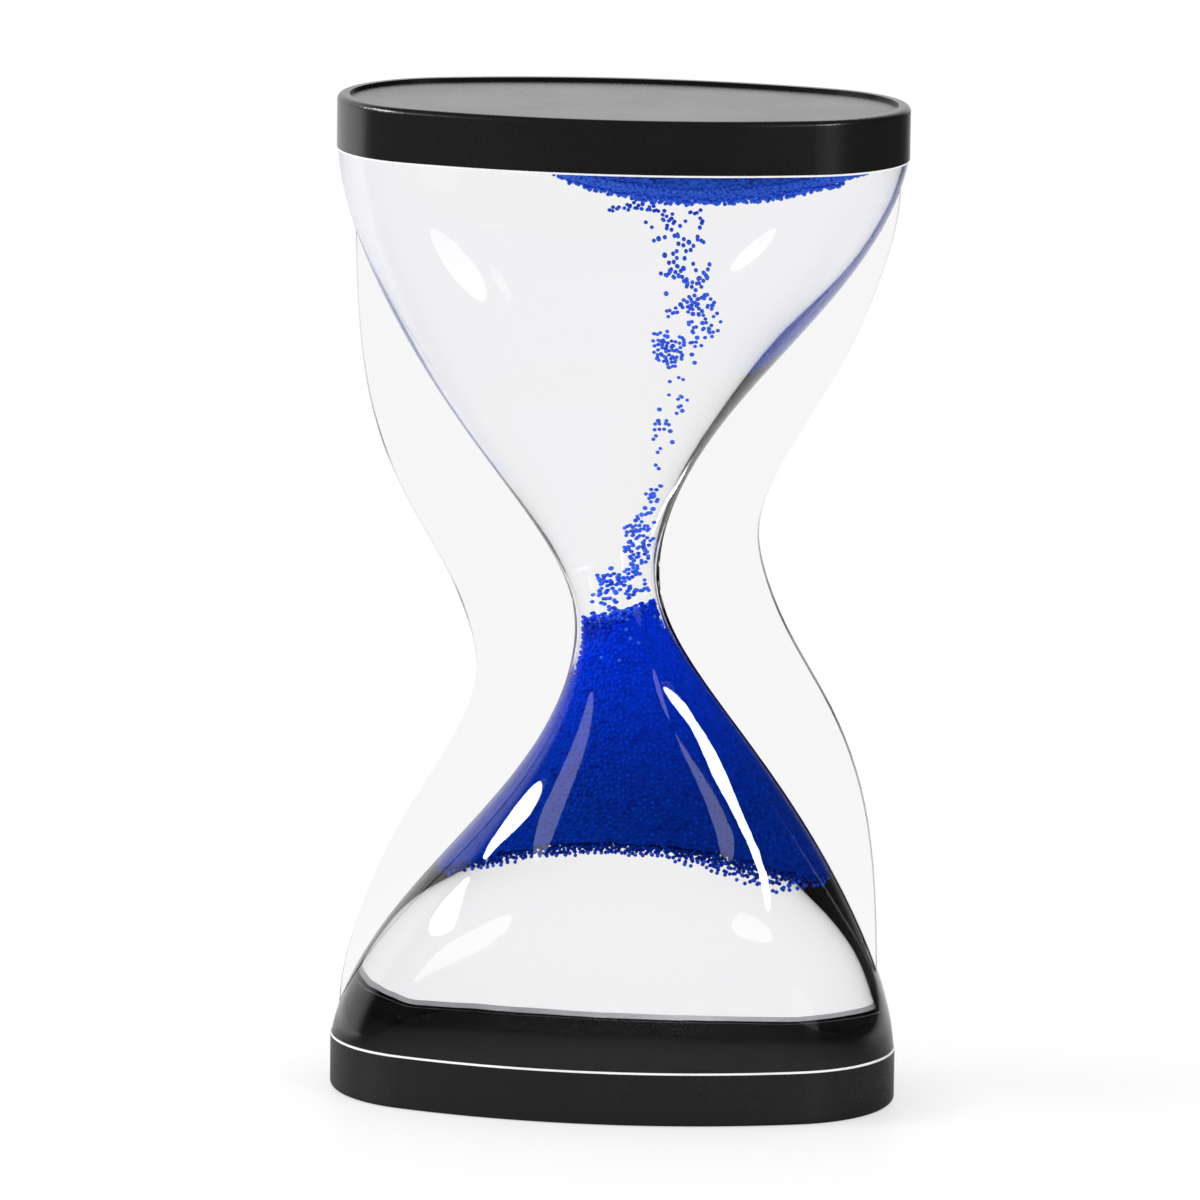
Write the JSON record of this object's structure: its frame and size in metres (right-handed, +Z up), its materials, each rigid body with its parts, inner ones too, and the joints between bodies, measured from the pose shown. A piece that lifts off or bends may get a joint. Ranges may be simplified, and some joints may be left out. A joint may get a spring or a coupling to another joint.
{
  "type": "liquid motion timer",
  "caption": "Free-standing liquid timer: clear sand-glass chamber with flat side wings between black oval caps, with buoyant blue beads rising through the neck.",
  "frame": {"origin": "centre of the timer's footprint on the face it stands on", "axes": "+Z up, X across the wide front, -Y towards the viewer"},
  "size_m": [0.0796, 0.042, 0.1408],
  "materials": {
    "clear_plastic": "polished, clear",
    "black_plastic": "satin",
    "plug_plastic": "smooth",
    "stopper_rubber": "smooth",
    "liquid": "clear liquid",
    "blue_beads": "glossy"
  },
  "bodies": {
    "timer": {"clear_body": "clear_plastic", "bottom_cap": "black_plastic", "top_cap": "black_plastic", "bottom_end_plug": "plug_plastic", "top_end_plug": "plug_plastic", "fill_stopper": "stopper_rubber", "clear_liquid": "liquid"},
    "packed_beads": {"lower_bead_mass": "blue_beads"},
    "ceiling_beads": {"upper_bead_layer": "blue_beads"},
    "puff_1": {"rising_beads_1": "blue_beads"},
    "puff_2": {"rising_beads_2": "blue_beads"},
    "puff_3": {"rising_beads_3": "blue_beads"},
    "puff_4": {"rising_beads_4": "blue_beads"},
    "puff_5": {"rising_beads_5": "blue_beads"},
    "puff_6": {"rising_beads_6": "blue_beads"}
  },
  "joints": [
    {"name": "packed_beads_slide", "type": "slide", "parent": "timer", "child": "packed_beads", "axis": [0, 0, 1], "range_m": [-0.0245, 0], "stiffness_N_per_m": 0.41, "springref_m": 0.6, "deforming": ["clear_liquid"]},
    {"name": "ceiling_beads_slide", "type": "slide", "parent": "timer", "child": "ceiling_beads", "axis": [0, 0, 1], "range_m": [-0.002, 0], "stiffness_N_per_m": 0.18, "springref_m": 0.6},
    {"name": "puff_1_rise", "type": "slide", "parent": "timer", "child": "puff_1", "axis": [0, 0, 1], "range_m": [-0.002, 0.0504], "stiffness_N_per_m": 0.000027, "springref_m": 0.6},
    {"name": "puff_2_rise", "type": "slide", "parent": "timer", "child": "puff_2", "axis": [0, 0, 1], "range_m": [-0.0035, 0.0414], "stiffness_N_per_m": 0.000027, "springref_m": 0.6},
    {"name": "puff_3_rise", "type": "slide", "parent": "timer", "child": "puff_3", "axis": [0, 0, 1], "range_m": [-0.006, 0.0265], "stiffness_N_per_m": 0.000027, "springref_m": 0.6},
    {"name": "puff_4_rise", "type": "slide", "parent": "timer", "child": "puff_4", "axis": [0, 0, 1], "range_m": [-0.0125, 0.0152], "stiffness_N_per_m": 0.000027, "springref_m": 0.6},
    {"name": "puff_5_rise", "type": "slide", "parent": "timer", "child": "puff_5", "axis": [0, 0, 1], "range_m": [-0.0165, 0.0092], "stiffness_N_per_m": 0.000027, "springref_m": 0.6},
    {"name": "puff_6_rise", "type": "slide", "parent": "timer", "child": "puff_6", "axis": [0, 0, 1], "range_m": [-0.0245, 0.0029], "stiffness_N_per_m": 0.000027, "springref_m": 0.6}
  ]
}
